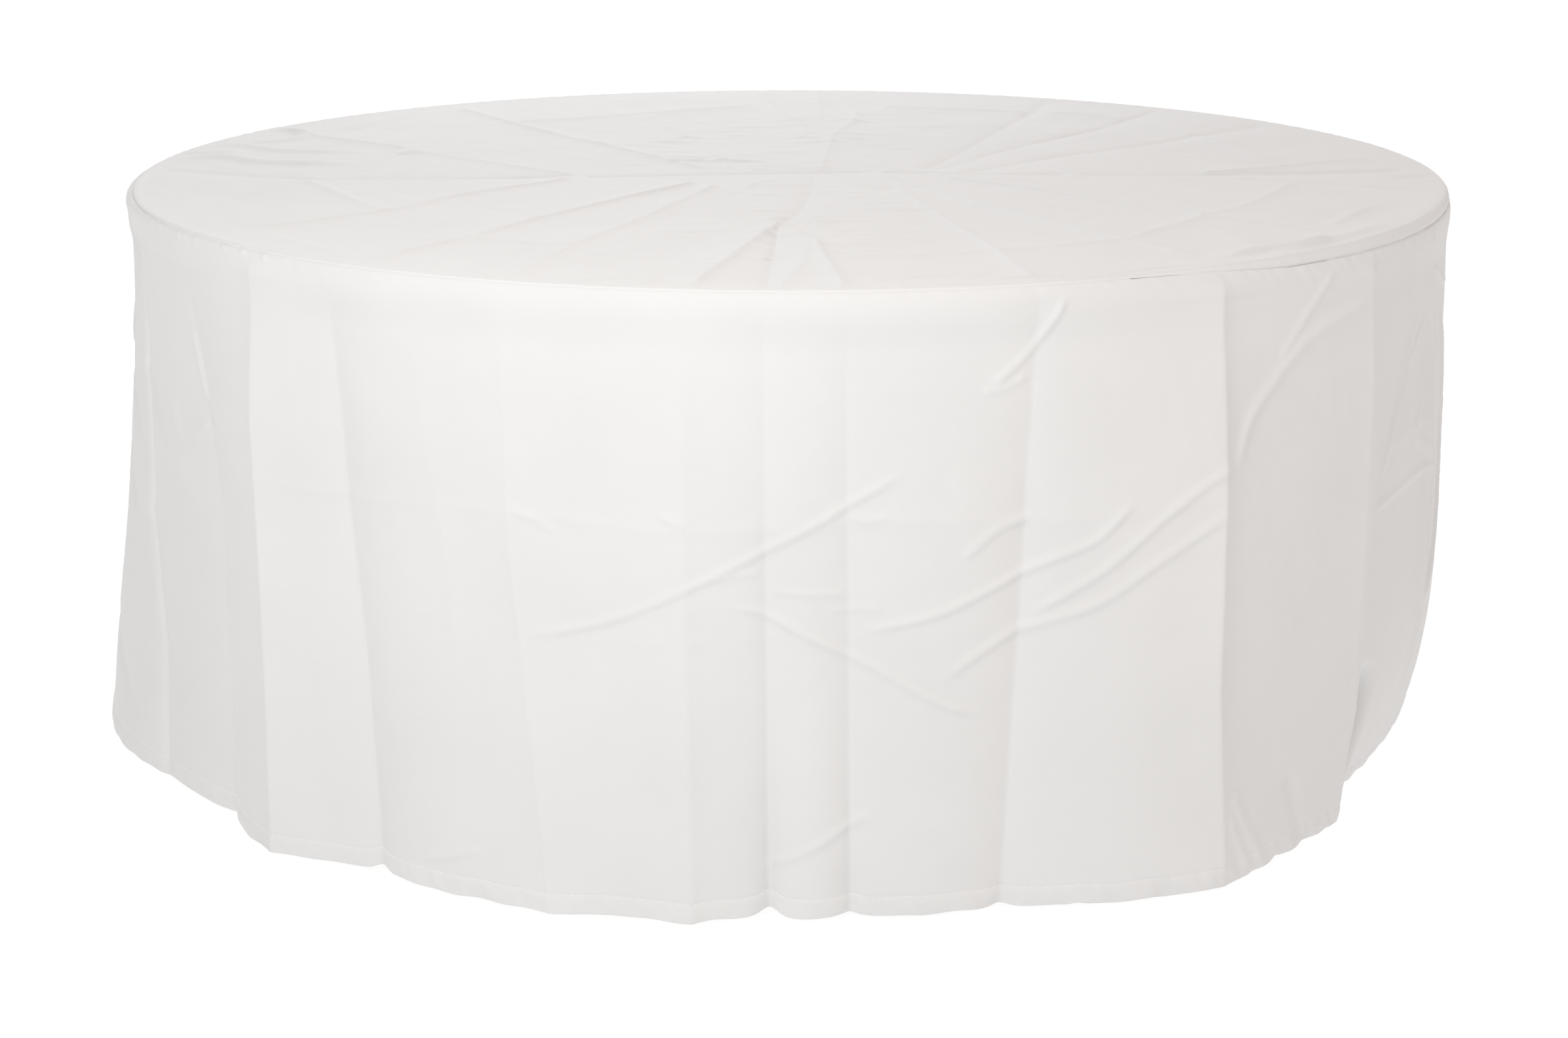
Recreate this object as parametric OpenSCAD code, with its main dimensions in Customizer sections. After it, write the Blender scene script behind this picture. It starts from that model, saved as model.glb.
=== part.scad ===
/* [Table] */
// Diameter of the round table top
table_d = 1830; // [1200:10:2000]
// Height of the table top above the floor
table_h = 762; // [650:1:900]
// Thickness of the plywood top
panel_t = 18; // [12:1:25]
// Depth of the finished table edge
edge_h = 38; // [25:1:60]
// Radial thickness of the plastic edge band
band_t = 2.5; // [1:0.5:5]
// Radial width of the stiffening ring under the edge
ring_w = 50; // [30:1:90]

/* [Cover] */
// Thickness of the cloth
cloth_t = 1.2; // [0.8:0.1:3]
// Gap between the cloth and the table beneath it
cloth_gap = 0.3; // [0.3:0.1:2]
// Ease of the skirt around the table edge, on the radius
skirt_ease = 2; // [1.8:0.1:6]
// How far the hem stands out beyond the table edge
hem_flare = 30; // [5:1:60]
// Height of the hem above the floor
hem_lift = 2; // [2:0.5:30]
// Depth of the turned hem
hem_depth = 25; // [15:1:50]
// Depth of the seam allowance under the rim
seam_depth = 12; // [8:1:20]
// Width of each side seam
side_seam_w = 24; // [15:1:40]
// Thickness of the stitching thread
thread_t = 0.5; // [0.3:0.1:1]

/* [Leg frames] */
// Distance of each pivot bar from the table centre
pivot_x = 705; // [500:1:800]
// Half the distance between the two legs of a frame
leg_y = 340; // [250:1:400]
// Outward lean of the legs, in degrees
leg_splay = 4; // [0:0.5:8]
// Outside diameter of the legs and the pivot bar
tube_d = 28; // [22:1:35]
// Wall thickness of the tubes
tube_wall = 1.5; // [1:0.1:3]
// Outside diameter of the cross bar
cross_d = 22; // [16:1:28]
// Distance of the cross bar from the pivot, along the leg
cross_s = 260; // [180:1:400]
// Thickness of the wooden runner that carries a leg frame
runner_t = 38; // [20:1:50]
// Width of the wooden runner
runner_w = 90; // [60:1:120]
// Half the length of the wooden runner
runner_y = 370; // [300:1:410]

/* [Brackets and glides] */
// Distance of each saddle bracket from the table's middle line
saddle_y = 275; // [150:1:340]
// Thickness of the bracket steel
plate_t = 2.5; // [1.5:0.1:4]
// Width of a saddle bracket
saddle_w = 30; // [20:1:50]
// Reach of a saddle bracket's foot, from the bar's centre
saddle_reach = 40; // [30:1:44]
// Outside diameter of a foot glide
glide_d = 36; // [32:1:50]
// Length of a foot glide along the leg
glide_len = 34; // [20:1:50]
// Diameter of a screw's shank
screw_d = 4.5; // [3:0.1:6]
// Diameter of a screw's head
screw_head_d = 9; // [6:0.1:12]

/* [Braces] */
// Distance of the upper brace pin from the leg pivot, towards the centre
brace_u = 330; // [250:1:400]
// Height of the upper brace pin above the leg pivot
brace_rise = 30; // [25:1:35]
// Width of a brace link
link_w = 20; // [14:1:26]
// Thickness of a brace link
link_t = 4; // [2:0.5:6]
// Gap between the two links of a brace
link_gap = 0.8; // [0.6:0.1:3]
// Distance of the folded knee from the leg pivot, towards the centre
knee_u = 69.35; // [60:0.01:120]
// Height of the folded knee above the leg pivot
knee_rise = 22; // [15:1:30]
// Diameter of the brace pins
pin_d = 8; // [5:0.5:12]

/* [Hidden] */
$fn = 96;
fit_gap = 0.3;
table_r = table_d / 2;
panel_r = table_r - band_t;
panel_z = table_h - panel_t;
edge_z = table_h - edge_h;
tube_r = tube_d / 2;
cross_r = cross_d / 2;
runner_z = panel_z - runner_t;
bar_gap = 1;
pivot_z = runner_z - bar_gap - tube_r;
leg_len = pivot_z / cos(leg_splay);
glide_r = glide_d / 2;
cap_len = 6;

// Cover: the skirt hangs straight down the table edge, then leans out to the hem.
cloth_z = table_h + cloth_gap;
skirt_r = table_r + skirt_ease;
hem_r = table_r + hem_flare;
function skirt_in(z) = z >= edge_z ? skirt_r : hem_r - (hem_r - skirt_r) * (z - hem_lift) / (edge_z - hem_lift);
hem_z = hem_lift + hem_depth;
stitch_z = hem_z - 2.5;
seam_z = cloth_z - seam_depth;
seam_t = skirt_ease - 0.5;
seam_turn = side_seam_w / 2 / table_r * 180 / PI;

// Brace: open, both links lie in one line from the upper pin to the cross bar.
brace_z = pivot_z + brace_rise;
upper_len = norm([brace_u - knee_u, brace_rise - knee_rise]);
lower_len = norm([cross_s - knee_u, knee_rise]);
foot_u = -cross_s * sin(leg_splay);
foot_v = -cross_s * cos(leg_splay);
brace_lean = atan2(brace_rise - foot_v, brace_u - foot_u);
upper_y = (link_gap + link_t) / 2;
ear_y = 8;
ear_t = 3;
clevis_w = 40;
clevis_len = 60;
eye_r = 16;
collar_t = 6;
head_h = 3;
screw_len = 14;

cloth_c = [0.93, 0.93, 0.92];
seam_c = [0.90, 0.90, 0.89];
thread_c = [0.97, 0.97, 0.96];
ply_c = [0.76, 0.60, 0.40];
wood_c = [0.68, 0.50, 0.31];
band_c = [0.22, 0.20, 0.19];
tube_c = [0.20, 0.20, 0.21];
plate_c = [0.62, 0.63, 0.65];
screw_c = [0.75, 0.75, 0.72];
glide_c = [0.10, 0.10, 0.10];

// ---- Cover ----

module skirt_layer(z0, z1, inset, t) {
    polygon([
        [skirt_in(z0) + inset, z0],
        [skirt_in(z0) + inset + t, z0],
        [skirt_in(z1) + inset + t, z1],
        [skirt_in(z1) + inset, z1]
    ]);
}

module skirt_half() {
    rotate_extrude(angle = 180) {
        skirt_layer(hem_lift, edge_z, 0, cloth_t);
        skirt_layer(edge_z, cloth_z, 0, cloth_t);
    }
}

module hem_half() {
    rotate_extrude(angle = 180)
        skirt_layer(hem_lift, hem_z, -cloth_t, cloth_t);
}

module side_seam() {
    rotate([0, 0, -seam_turn])
        rotate_extrude(angle = 2 * seam_turn) {
            skirt_layer(hem_z, edge_z, -cloth_t, cloth_t);
            skirt_layer(edge_z, seam_z, -cloth_t, cloth_t);
        }
}

module cover_top() {
    color(cloth_c)
        translate([0, 0, cloth_z])
            cylinder(r = skirt_r + cloth_t, h = cloth_t);
}

module skirt_back() {
    color(cloth_c)
        skirt_half();
}

module skirt_front() {
    color(cloth_c)
        rotate([0, 0, 180])
            skirt_half();
}

module rim_seam() {
    color(seam_c)
        translate([0, 0, seam_z])
            difference() {
                cylinder(r = skirt_r, h = seam_depth);
                translate([0, 0, -1])
                    cylinder(r = skirt_r - seam_t, h = seam_depth + 2);
            }
}

module side_seam_right() {
    color(seam_c)
        side_seam();
}

module side_seam_left() {
    color(seam_c)
        rotate([0, 0, 180])
            side_seam();
}

module hem_back() {
    color(seam_c)
        hem_half();
}

module hem_front() {
    color(seam_c)
        rotate([0, 0, 180])
            hem_half();
}

module hem_stitching() {
    color(thread_c)
        rotate_extrude()
            skirt_layer(stitch_z, stitch_z + thread_t, cloth_t, thread_t);
}

// ---- Table top ----

module tabletop_panel() {
    color(ply_c)
        difference() {
            translate([0, 0, panel_z])
                cylinder(r = panel_r, h = panel_t);
            for (side = [0, 1])
                mirror([side, 0, 0])
                    clevis_holes()
                        shank_hole(panel_z - plate_t);
        }
}

module edge_ring() {
    color(wood_c)
        translate([0, 0, edge_z])
            difference() {
                cylinder(r = panel_r, h = edge_h - panel_t);
                translate([0, 0, -1])
                    cylinder(r = panel_r - ring_w, h = edge_h);
            }
}

module edge_band() {
    color(band_c)
        translate([0, 0, edge_z])
            difference() {
                cylinder(r = table_r, h = edge_h);
                translate([0, 0, -1])
                    cylinder(r = panel_r, h = edge_h + 2);
            }
}

// ---- Right-hand leg frame and its fittings; the left-hand ones are mirrored ----

// A rod along Y, centred on the origin.
module rod_y(r, len) {
    rotate([90, 0, 0])
        cylinder(r = r, h = len, center = true);
}

module tube_y(r, len) {
    difference() {
        rod_y(r, len);
        rod_y(r - tube_wall, len + 2);
    }
}

// Moves to the pivot and turns to the leg's lean, so -Z runs down the leg.
module along_leg(y) {
    translate([pivot_x, y, pivot_z])
        rotate([0, -leg_splay, 0])
            children();
}

module saddle_holes(y) {
    for (side = [-1, 1])
        translate([pivot_x + side * (saddle_reach - 9), y, 0])
            children();
}

module clevis_holes() {
    for (dx = [-1, 1], dy = [-1, 1])
        translate([pivot_x - brace_u + dx * (clevis_len / 2 - 9), dy * (clevis_w / 2 - 1), 0])
            children();
}

module shank_hole(z) {
    translate([0, 0, z - 1])
        cylinder(d = screw_d, h = screw_len + 1);
}

module screw_up(z) {
    translate([0, 0, z - head_h])
        cylinder(d = screw_head_d, h = head_h);
    translate([0, 0, z])
        cylinder(d = screw_d, h = screw_len);
}

module runner() {
    difference() {
        translate([pivot_x - runner_w / 2, -runner_y, runner_z])
            cube([runner_w, 2 * runner_y, runner_t]);
        for (side = [-1, 1])
            saddle_holes(side * saddle_y)
                shank_hole(runner_z - plate_t);
    }
}

module saddle_outline() {
    inner_r = tube_r + fit_gap;
    outer_r = inner_r + plate_t;
    rise = runner_z - pivot_z;
    difference() {
        union() {
            circle(r = outer_r);
            translate([-outer_r, 0])
                square([2 * outer_r, rise]);
            translate([-saddle_reach, rise - plate_t])
                square([2 * saddle_reach, plate_t]);
        }
        circle(r = inner_r);
        translate([-inner_r, 0])
            square([2 * inner_r, 2 * rise]);
    }
}

module saddle(y) {
    difference() {
        translate([pivot_x, y + saddle_w / 2, pivot_z])
            rotate([90, 0, 0])
                linear_extrude(height = saddle_w)
                    saddle_outline();
        saddle_holes(y)
            shank_hole(runner_z - plate_t);
    }
}

module saddle_screws() {
    for (side = [-1, 1])
        saddle_holes(side * saddle_y)
            screw_up(runner_z - plate_t);
}

module clevis() {
    difference() {
        union() {
            translate([pivot_x - brace_u - clevis_len / 2, -clevis_w / 2 - 6, panel_z - plate_t])
                cube([clevis_len, clevis_w + 12, plate_t]);
            for (side = [-1, 1])
                translate([pivot_x - brace_u, side * (ear_y + ear_t / 2), 0]) {
                    translate([-link_w / 2, -ear_t / 2, brace_z])
                        cube([link_w, ear_t, panel_z - plate_t - brace_z]);
                    translate([0, 0, brace_z])
                        rod_y(link_w / 2, ear_t);
                }
        }
        translate([pivot_x - brace_u, 0, brace_z])
            rod_y(pin_d / 2, clevis_w);
        clevis_holes()
            shank_hole(panel_z - plate_t);
    }
}

module clevis_screws() {
    clevis_holes()
        screw_up(panel_z - plate_t);
}

module clevis_pin() {
    translate([pivot_x - brace_u, 0, brace_z])
        rod_y(pin_d / 2, 2 * (ear_y + ear_t + 2));
}

module pivot_bar() {
    translate([pivot_x, 0, pivot_z])
        tube_y(tube_r, 2 * (leg_y + tube_r + 4));
}

module leg(y) {
    along_leg(y)
        difference() {
            translate([0, 0, -leg_len + cap_len])
                cylinder(r = tube_r, h = leg_len - cap_len);
            translate([0, 0, -leg_len])
                cylinder(r = tube_r - tube_wall, h = leg_len + 2 * tube_r);
            rod_y(tube_r, 4 * tube_r);
        }
}

module cross_bar() {
    difference() {
        along_leg(0)
            translate([0, 0, -cross_s])
                tube_y(cross_r, 2 * leg_y);
        for (side = [-1, 1])
            along_leg(side * leg_y)
                translate([0, 0, -cross_s - 2 * tube_r])
                    cylinder(r = tube_r, h = 4 * tube_r);
    }
}

module glide(y) {
    difference() {
        along_leg(y)
            translate([0, 0, -leg_len - glide_r])
                cylinder(r = glide_r, h = glide_len + glide_r);
        along_leg(y)
            translate([0, 0, -leg_len + cap_len])
                cylinder(r = tube_r, h = glide_len);
        translate([pivot_x, y - 2 * glide_d, -4 * glide_d])
            cube([4 * glide_d, 4 * glide_d, 4 * glide_d]);
    }
}

module collars() {
    along_leg(0)
        for (side = [-1, 1])
            translate([0, side * (link_gap / 2 + link_t + fit_gap + collar_t / 2), -cross_s])
                difference() {
                    rod_y(cross_r + 4, collar_t);
                    rod_y(cross_r, collar_t + 2);
                }
}

// ---- Brace links, drawn open ----

// Moves to a pin and turns so +X runs down the brace, from the upper pin to the cross bar.
module down_brace(dist, y) {
    translate([pivot_x - brace_u, y, brace_z])
        rotate([0, brace_lean, 0])
            translate([dist, 0, 0])
                children();
}

module link_bar(len) {
    translate([0, -link_t / 2, -link_w / 2])
        cube([len, link_t, link_w]);
}

module upper_link() {
    down_brace(0, upper_y)
        difference() {
            union() {
                link_bar(upper_len);
                rod_y(link_w / 2, link_t);
                translate([upper_len, 0, 0])
                    rod_y(link_w / 2, link_t);
            }
            rod_y(pin_d / 2 + fit_gap, link_t + 2);
            translate([upper_len, 0, 0])
                rod_y(pin_d / 2, link_t + 2);
        }
}

module knee_rivet() {
    down_brace(upper_len, upper_y) {
        rod_y(pin_d / 2, link_t);
        translate([0, (link_t + head_h) / 2, 0])
            rod_y(pin_d, head_h);
    }
}

module lower_link() {
    down_brace(upper_len, -upper_y)
        difference() {
            union() {
                link_bar(lower_len);
                rod_y(link_w / 2, link_t);
                translate([lower_len, 0, 0])
                    rod_y(eye_r, link_t);
            }
            rod_y(pin_d / 2 + fit_gap, link_t + 2);
            translate([lower_len, 0, 0])
                rod_y(cross_r + fit_gap, link_t + 2);
        }
}

module left_side() {
    mirror([1, 0, 0])
        children();
}

cover_top();
skirt_front();
skirt_back();
rim_seam();
side_seam_left();
side_seam_right();
hem_front();
hem_back();
hem_stitching();
tabletop_panel();
edge_ring();
edge_band();
color(wood_c) left_side() runner();  // runner_left
color(wood_c) runner();  // runner_right
color(plate_c) left_side() saddle(-saddle_y);  // saddle_left_front
color(plate_c) left_side() saddle(saddle_y);  // saddle_left_back
color(plate_c) saddle(-saddle_y);  // saddle_right_front
color(plate_c) saddle(saddle_y);  // saddle_right_back
color(screw_c) left_side() saddle_screws();  // saddle_screws_left
color(screw_c) saddle_screws();  // saddle_screws_right
color(plate_c) left_side() clevis();  // clevis_left
color(plate_c) clevis();  // clevis_right
color(screw_c) left_side() clevis_screws();  // clevis_screws_left
color(screw_c) clevis_screws();  // clevis_screws_right
color(screw_c) left_side() clevis_pin();  // clevis_pin_left
color(screw_c) clevis_pin();  // clevis_pin_right
color(tube_c) left_side() pivot_bar();  // pivot_bar_left
color(tube_c) left_side() leg(-leg_y);  // leg_left_front
color(tube_c) left_side() leg(leg_y);  // leg_left_back
color(tube_c) left_side() cross_bar();  // cross_bar_left
color(glide_c) left_side() glide(-leg_y);  // glide_left_front
color(glide_c) left_side() glide(leg_y);  // glide_left_back
color(glide_c) left_side() collars();  // collars_left
color(tube_c) pivot_bar();  // pivot_bar_right
color(tube_c) leg(-leg_y);  // leg_right_front
color(tube_c) leg(leg_y);  // leg_right_back
color(tube_c) cross_bar();  // cross_bar_right
color(glide_c) glide(-leg_y);  // glide_right_front
color(glide_c) glide(leg_y);  // glide_right_back
color(glide_c) collars();  // collars_right
color(plate_c) left_side() upper_link();  // upper_link_left
color(screw_c) left_side() knee_rivet();  // knee_rivet_left
color(plate_c) left_side() lower_link();  // lower_link_left
color(plate_c) upper_link();  // upper_link_right
color(screw_c) knee_rivet();  // knee_rivet_right
color(plate_c) lower_link();  // lower_link_right
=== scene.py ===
import math

import bpy
import numpy as np
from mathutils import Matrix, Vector


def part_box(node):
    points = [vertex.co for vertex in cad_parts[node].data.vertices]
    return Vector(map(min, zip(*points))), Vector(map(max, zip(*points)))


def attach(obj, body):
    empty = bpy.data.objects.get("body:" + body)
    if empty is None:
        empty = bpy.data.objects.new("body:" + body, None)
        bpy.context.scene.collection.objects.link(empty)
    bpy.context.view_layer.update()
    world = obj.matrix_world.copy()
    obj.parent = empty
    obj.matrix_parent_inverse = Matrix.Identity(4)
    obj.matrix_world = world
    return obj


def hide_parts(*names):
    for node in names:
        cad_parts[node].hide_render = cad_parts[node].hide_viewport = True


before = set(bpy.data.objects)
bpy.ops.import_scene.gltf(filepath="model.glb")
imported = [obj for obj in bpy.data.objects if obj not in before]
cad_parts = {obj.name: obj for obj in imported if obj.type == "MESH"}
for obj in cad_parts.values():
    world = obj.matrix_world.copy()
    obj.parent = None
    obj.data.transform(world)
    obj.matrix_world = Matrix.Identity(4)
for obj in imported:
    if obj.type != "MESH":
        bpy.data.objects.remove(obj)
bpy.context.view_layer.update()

# ---------------------------------------------------------------- sizes, in metres

TABLE_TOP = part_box("tabletop_panel")[1][2]
TABLE_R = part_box("edge_band")[1][0]
CLOTH_TOP = TABLE_TOP + 0.0050     # outer face of the cloth over the table
EDGE_R = TABLE_R + 0.0065          # outer face of the cloth where it rolls over the table's edge
ROLL_IN = 0.0100                   # how far in from that the roll starts
ROLL_DOWN = 0.0300                 # and how far down it ends
ROLL_SLACK = 0.0035                # how far the skirt falls back in below the roll
EDGE_FOOT = TABLE_TOP - 0.040      # where the skirt leaves the table's edge
HEM_Z = 0.0035                     # the hem's lowest line
HEM_DEPTH = 0.025
HANG = EDGE_FOOT - HEM_Z

ROLL_TURN = np.linspace(0, math.pi / 2, 60)
ROLL_PATH = np.concatenate([[0], np.cumsum(np.hypot(np.diff(ROLL_IN * np.sin(ROLL_TURN)),
                                                    np.diff(ROLL_DOWN * np.cos(ROLL_TURN))))])
ROLL_ARC = ROLL_PATH[-1]

FRONT_COLUMNS = 920
BACK_COLUMNS = 560
TOP_RINGS = 270


# ---------------------------------------------------------------- curves and strokes

def smooth_line(points, steps=7):
    """A Catmull-Rom curve through the points."""
    p = np.array(points, float)
    if len(p) < 3:
        return p
    ends = np.vstack([2 * p[0] - p[1], p, 2 * p[-1] - p[-2]])
    out = []
    for i in range(len(p) - 1):
        a, b, c, d = ends[i:i + 4]
        for t in np.linspace(0, 1, steps, endpoint=False):
            out.append(0.5 * ((2 * b) + (c - a) * t + (2 * a - 5 * b + 4 * c - d) * t ** 2
                              + (3 * b - a - 3 * c + d) * t ** 3))
    out.append(p[-1])
    return np.array(out)


def near_line(x, y, line):
    """Signed distance to a line (positive on its left) and the place along it, 0 to 1."""
    best = np.full(x.shape, 1e9)
    sign = np.ones(x.shape)
    along = np.zeros(x.shape)
    legs = np.hypot(*(line[1:] - line[:-1]).T)
    total = legs.sum()
    done = 0.0
    for (ax, ay), (bx, by), leg in zip(line[:-1], line[1:], legs):
        if leg < 1e-9:
            continue
        dx, dy = (bx - ax) / leg, (by - ay) / leg
        t = (x - ax) * dx + (y - ay) * dy
        tc = np.clip(t, 0, leg)
        d = np.hypot(x - ax - tc * dx, y - ay - tc * dy)
        nearer = d < best
        best = np.where(nearer, d, best)
        sign = np.where(nearer, np.where(dx * (y - ay) - dy * (x - ax) >= 0, 1.0, -1.0), sign)
        along = np.where(nearer, (done + tc) / total, along)
        done += leg
    return best * sign, along


def soften(t):
    """An easing from 0 to 1, level at both ends."""
    t = np.clip(t, 0, 1)
    return t * t * (3 - 2 * t)


def add_stroke(field, x, y, points, height, left, right=None, soft=0.0007, kind="crease",
               start=0.12, end=0.12, grow=None):
    """Adds one crease (a sharp line with soft banks) or ridge (a rounded line) to a height field."""
    right = left if right is None else right
    line = smooth_line(points)
    reach = (8 if kind == "crease" else 4) * max(left, right)
    (x0, y0), (x1, y1) = line.min(0) - reach, line.max(0) + reach
    rows = np.nonzero((x > x0) & (x < x1) & (y > y0) & (y < y1))
    if not len(rows[0]):
        return
    d, t = near_line(x[rows], y[rows], line)
    w = np.where(d > 0, left, right)
    if kind == "crease":
        away = np.sqrt(d * d + soft * soft) - soft
        shape = 0.7 * np.exp(-away / w) + 0.3 * np.exp(-away / (3 * w))
    else:
        shape = np.exp(-0.5 * (d / w) ** 2)
    level = np.ones_like(t)
    if start:
        level = level * soften(t / start)
    if end:
        level = level * soften((1 - t) / end)
    if grow:
        level = level * np.interp(t, [g[0] for g in grow], [g[1] for g in grow])
    field[rows] += height * shape * level


def wander(x, y, pitch, count, seed, stretch=1.0):
    """A smooth field between about -1 and 1 whose bumps are one pitch across."""
    rs = np.random.RandomState(seed)
    total = np.zeros(x.shape)
    for _ in range(count):
        turn = rs.uniform(0, 2 * math.pi)
        rate = 2 * math.pi / (pitch * rs.uniform(0.7, 1.6))
        across = x * math.cos(turn) + stretch * y * math.sin(turn)
        total += np.sin(rate * across + rs.uniform(0, 2 * math.pi))
    return total / math.sqrt(count) / 1.5


# ---------------------------------------------------------------- the skirt's folds
# Azimuths are in degrees from the front of the table, positive towards its right.

# The packing folds, from the table's far left round to its far left again. For each one:
#   line   (azimuth, height) from the rim to the hem
#   reach  how far the hem stands out from the table's edge there, in millimetres
#   belly  how much further out (or in) the skirt stands half-way down
#   bow    how far the cloth bows out between this fold and the next one, at the hem
#   edge   the pressed edge itself: millimetres at the hem, millimetres half-way down,
#          width of its left and right bank, height where it starts
FOLDS = {
    "far_left": dict(line=[(-90, .76), (-90, 0)], reach=65, belly=0, bow=15),
    "left_dip": dict(line=[(-74, .76), (-72, .35), (-66, .18), (-64.5, 0)], reach=20, belly=-10, bow=0,
                     edge=(-7, -8, 10, 60, .74)),
    "a": dict(line=[(-58, .76), (-56, .60), (-54, .40), (-52.5, 0)], reach=0, belly=-6, bow=8,
              edge=(-6, -13, 60, 36, .72)),
    "b": dict(line=[(-46, .76), (-45.5, .55), (-44, .35), (-43, 0)], reach=40, belly=8, bow=-5,
              edge=(7, 10, 20, 60, .79)),
    "c": dict(line=[(-37.5, .76), (-36, .45), (-34.5, .25), (-33.5, 0)], reach=5, belly=-3, bow=5,
              edge=(-6, -5, 24, 26, .74)),
    "d": dict(line=[(-30, .76), (-28, .55), (-26, .40), (-25, 0)], reach=25, belly=0, bow=-2,
              edge=(2, 2, 44, 34, .73)),
    "e": dict(line=[(-22, .76), (-21, .45), (-19, .20), (-17.5, 0)], reach=40, belly=0, bow=-10,
              edge=(2, 2, 16, 16, .75)),
    "f": dict(line=[(-8, .76), (-7, 0)], reach=35, belly=3, bow=0, edge=(5, 4, 40, 12, .70)),
    "g": dict(line=[(-2, .76), (-1.5, 0)], reach=0, belly=-1, bow=15, edge=(-6, -4, 16, 12, .77)),
    "h": dict(line=[(4, .76), (4.5, 0)], reach=5, belly=-2, bow=8, edge=(-7, -4, 24, 11, .74)),
    "i": dict(line=[(18.5, .76), (17.5, .40), (16, 0)], reach=10, belly=-3, bow=8,
              edge=(-7, -8, 34, 26, .79)),
    "j": dict(line=[(34, .76), (33.5, .50), (32.5, .25), (33, 0)], reach=65, belly=10, bow=-6,
              edge=(4, 14, 60, 22, .83)),
    "k": dict(line=[(52, .76), (52.5, .60), (52, .25), (52.5, 0)], reach=0, belly=2, bow=3,
              edge=(8, 16, 60, 26, .83)),
    "l": dict(line=[(66, .76), (67.5, .60), (67.5, 0)], reach=10, belly=0, bow=0, edge=(0, 11, 12, 10, .83)),
    "far_right": dict(line=[(90, .76), (90, 0)], reach=15, belly=0, bow=15),
    "m": dict(line=[(104, .76), (105, 0)], reach=20, belly=-4, bow=10, edge=(-5, -6, 30, 24, .74)),
    "n": dict(line=[(123, .76), (121, 0)], reach=10, belly=6, bow=15, edge=(6, 8, 34, 34, .79)),
    "o": dict(line=[(139, .76), (142, 0)], reach=15, belly=-5, bow=5, edge=(-6, -7, 30, 30, .74)),
    "p": dict(line=[(153, .76), (153, 0)], reach=45, belly=5, bow=5, edge=(6, 7, 34, 26, .79)),
    "q": dict(line=[(176, .76), (174, 0)], reach=5, belly=-6, bow=15, edge=(-7, -8, 32, 32, .75)),
    "r": dict(line=[(193, .76), (194, 0)], reach=10, belly=0, bow=0, edge=(-4, -4, 18, 14, .73)),
    "s": dict(line=[(201, .76), (202, 0)], reach=40, belly=6, bow=5, edge=(6, 8, 30, 34, .79)),
    "t": dict(line=[(217, .76), (214, 0)], reach=5, belly=-7, bow=20, edge=(-7, -8, 32, 28, .75)),
    "u": dict(line=[(236, .76), (237, 0)], reach=15, belly=2, bow=15, edge=(-5, 7, 26, 28, .79)),
    "v": dict(line=[(252, .76), (254, 0)], reach=20, belly=2, bow=10, edge=(6, 8, 36, 28, .74)),
    "back_left": dict(line=[(270, .76), (270, 0)], reach=65, belly=0, bow=0),
}

# On its right side the skirt's foot is drawn in under itself, behind the flap.
TUCK_DEPTH = 0.064
TUCK_STARTS, TUCK_FULL, TUCK_EASES, TUCK_ENDS = 51, 60, 68, 106
TUCK_TOP = 0.31

# The deep fold beside the flap, low on the right: points (azimuth, height), and its two half widths.
POCKET = [(55, 0.21), (54, 0.14), (53, 0.07), (52, -0.02)]
POCKET_DEPTH = 0.180
POCKET_LEFT, POCKET_RIGHT = 0.022, 0.009

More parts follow.
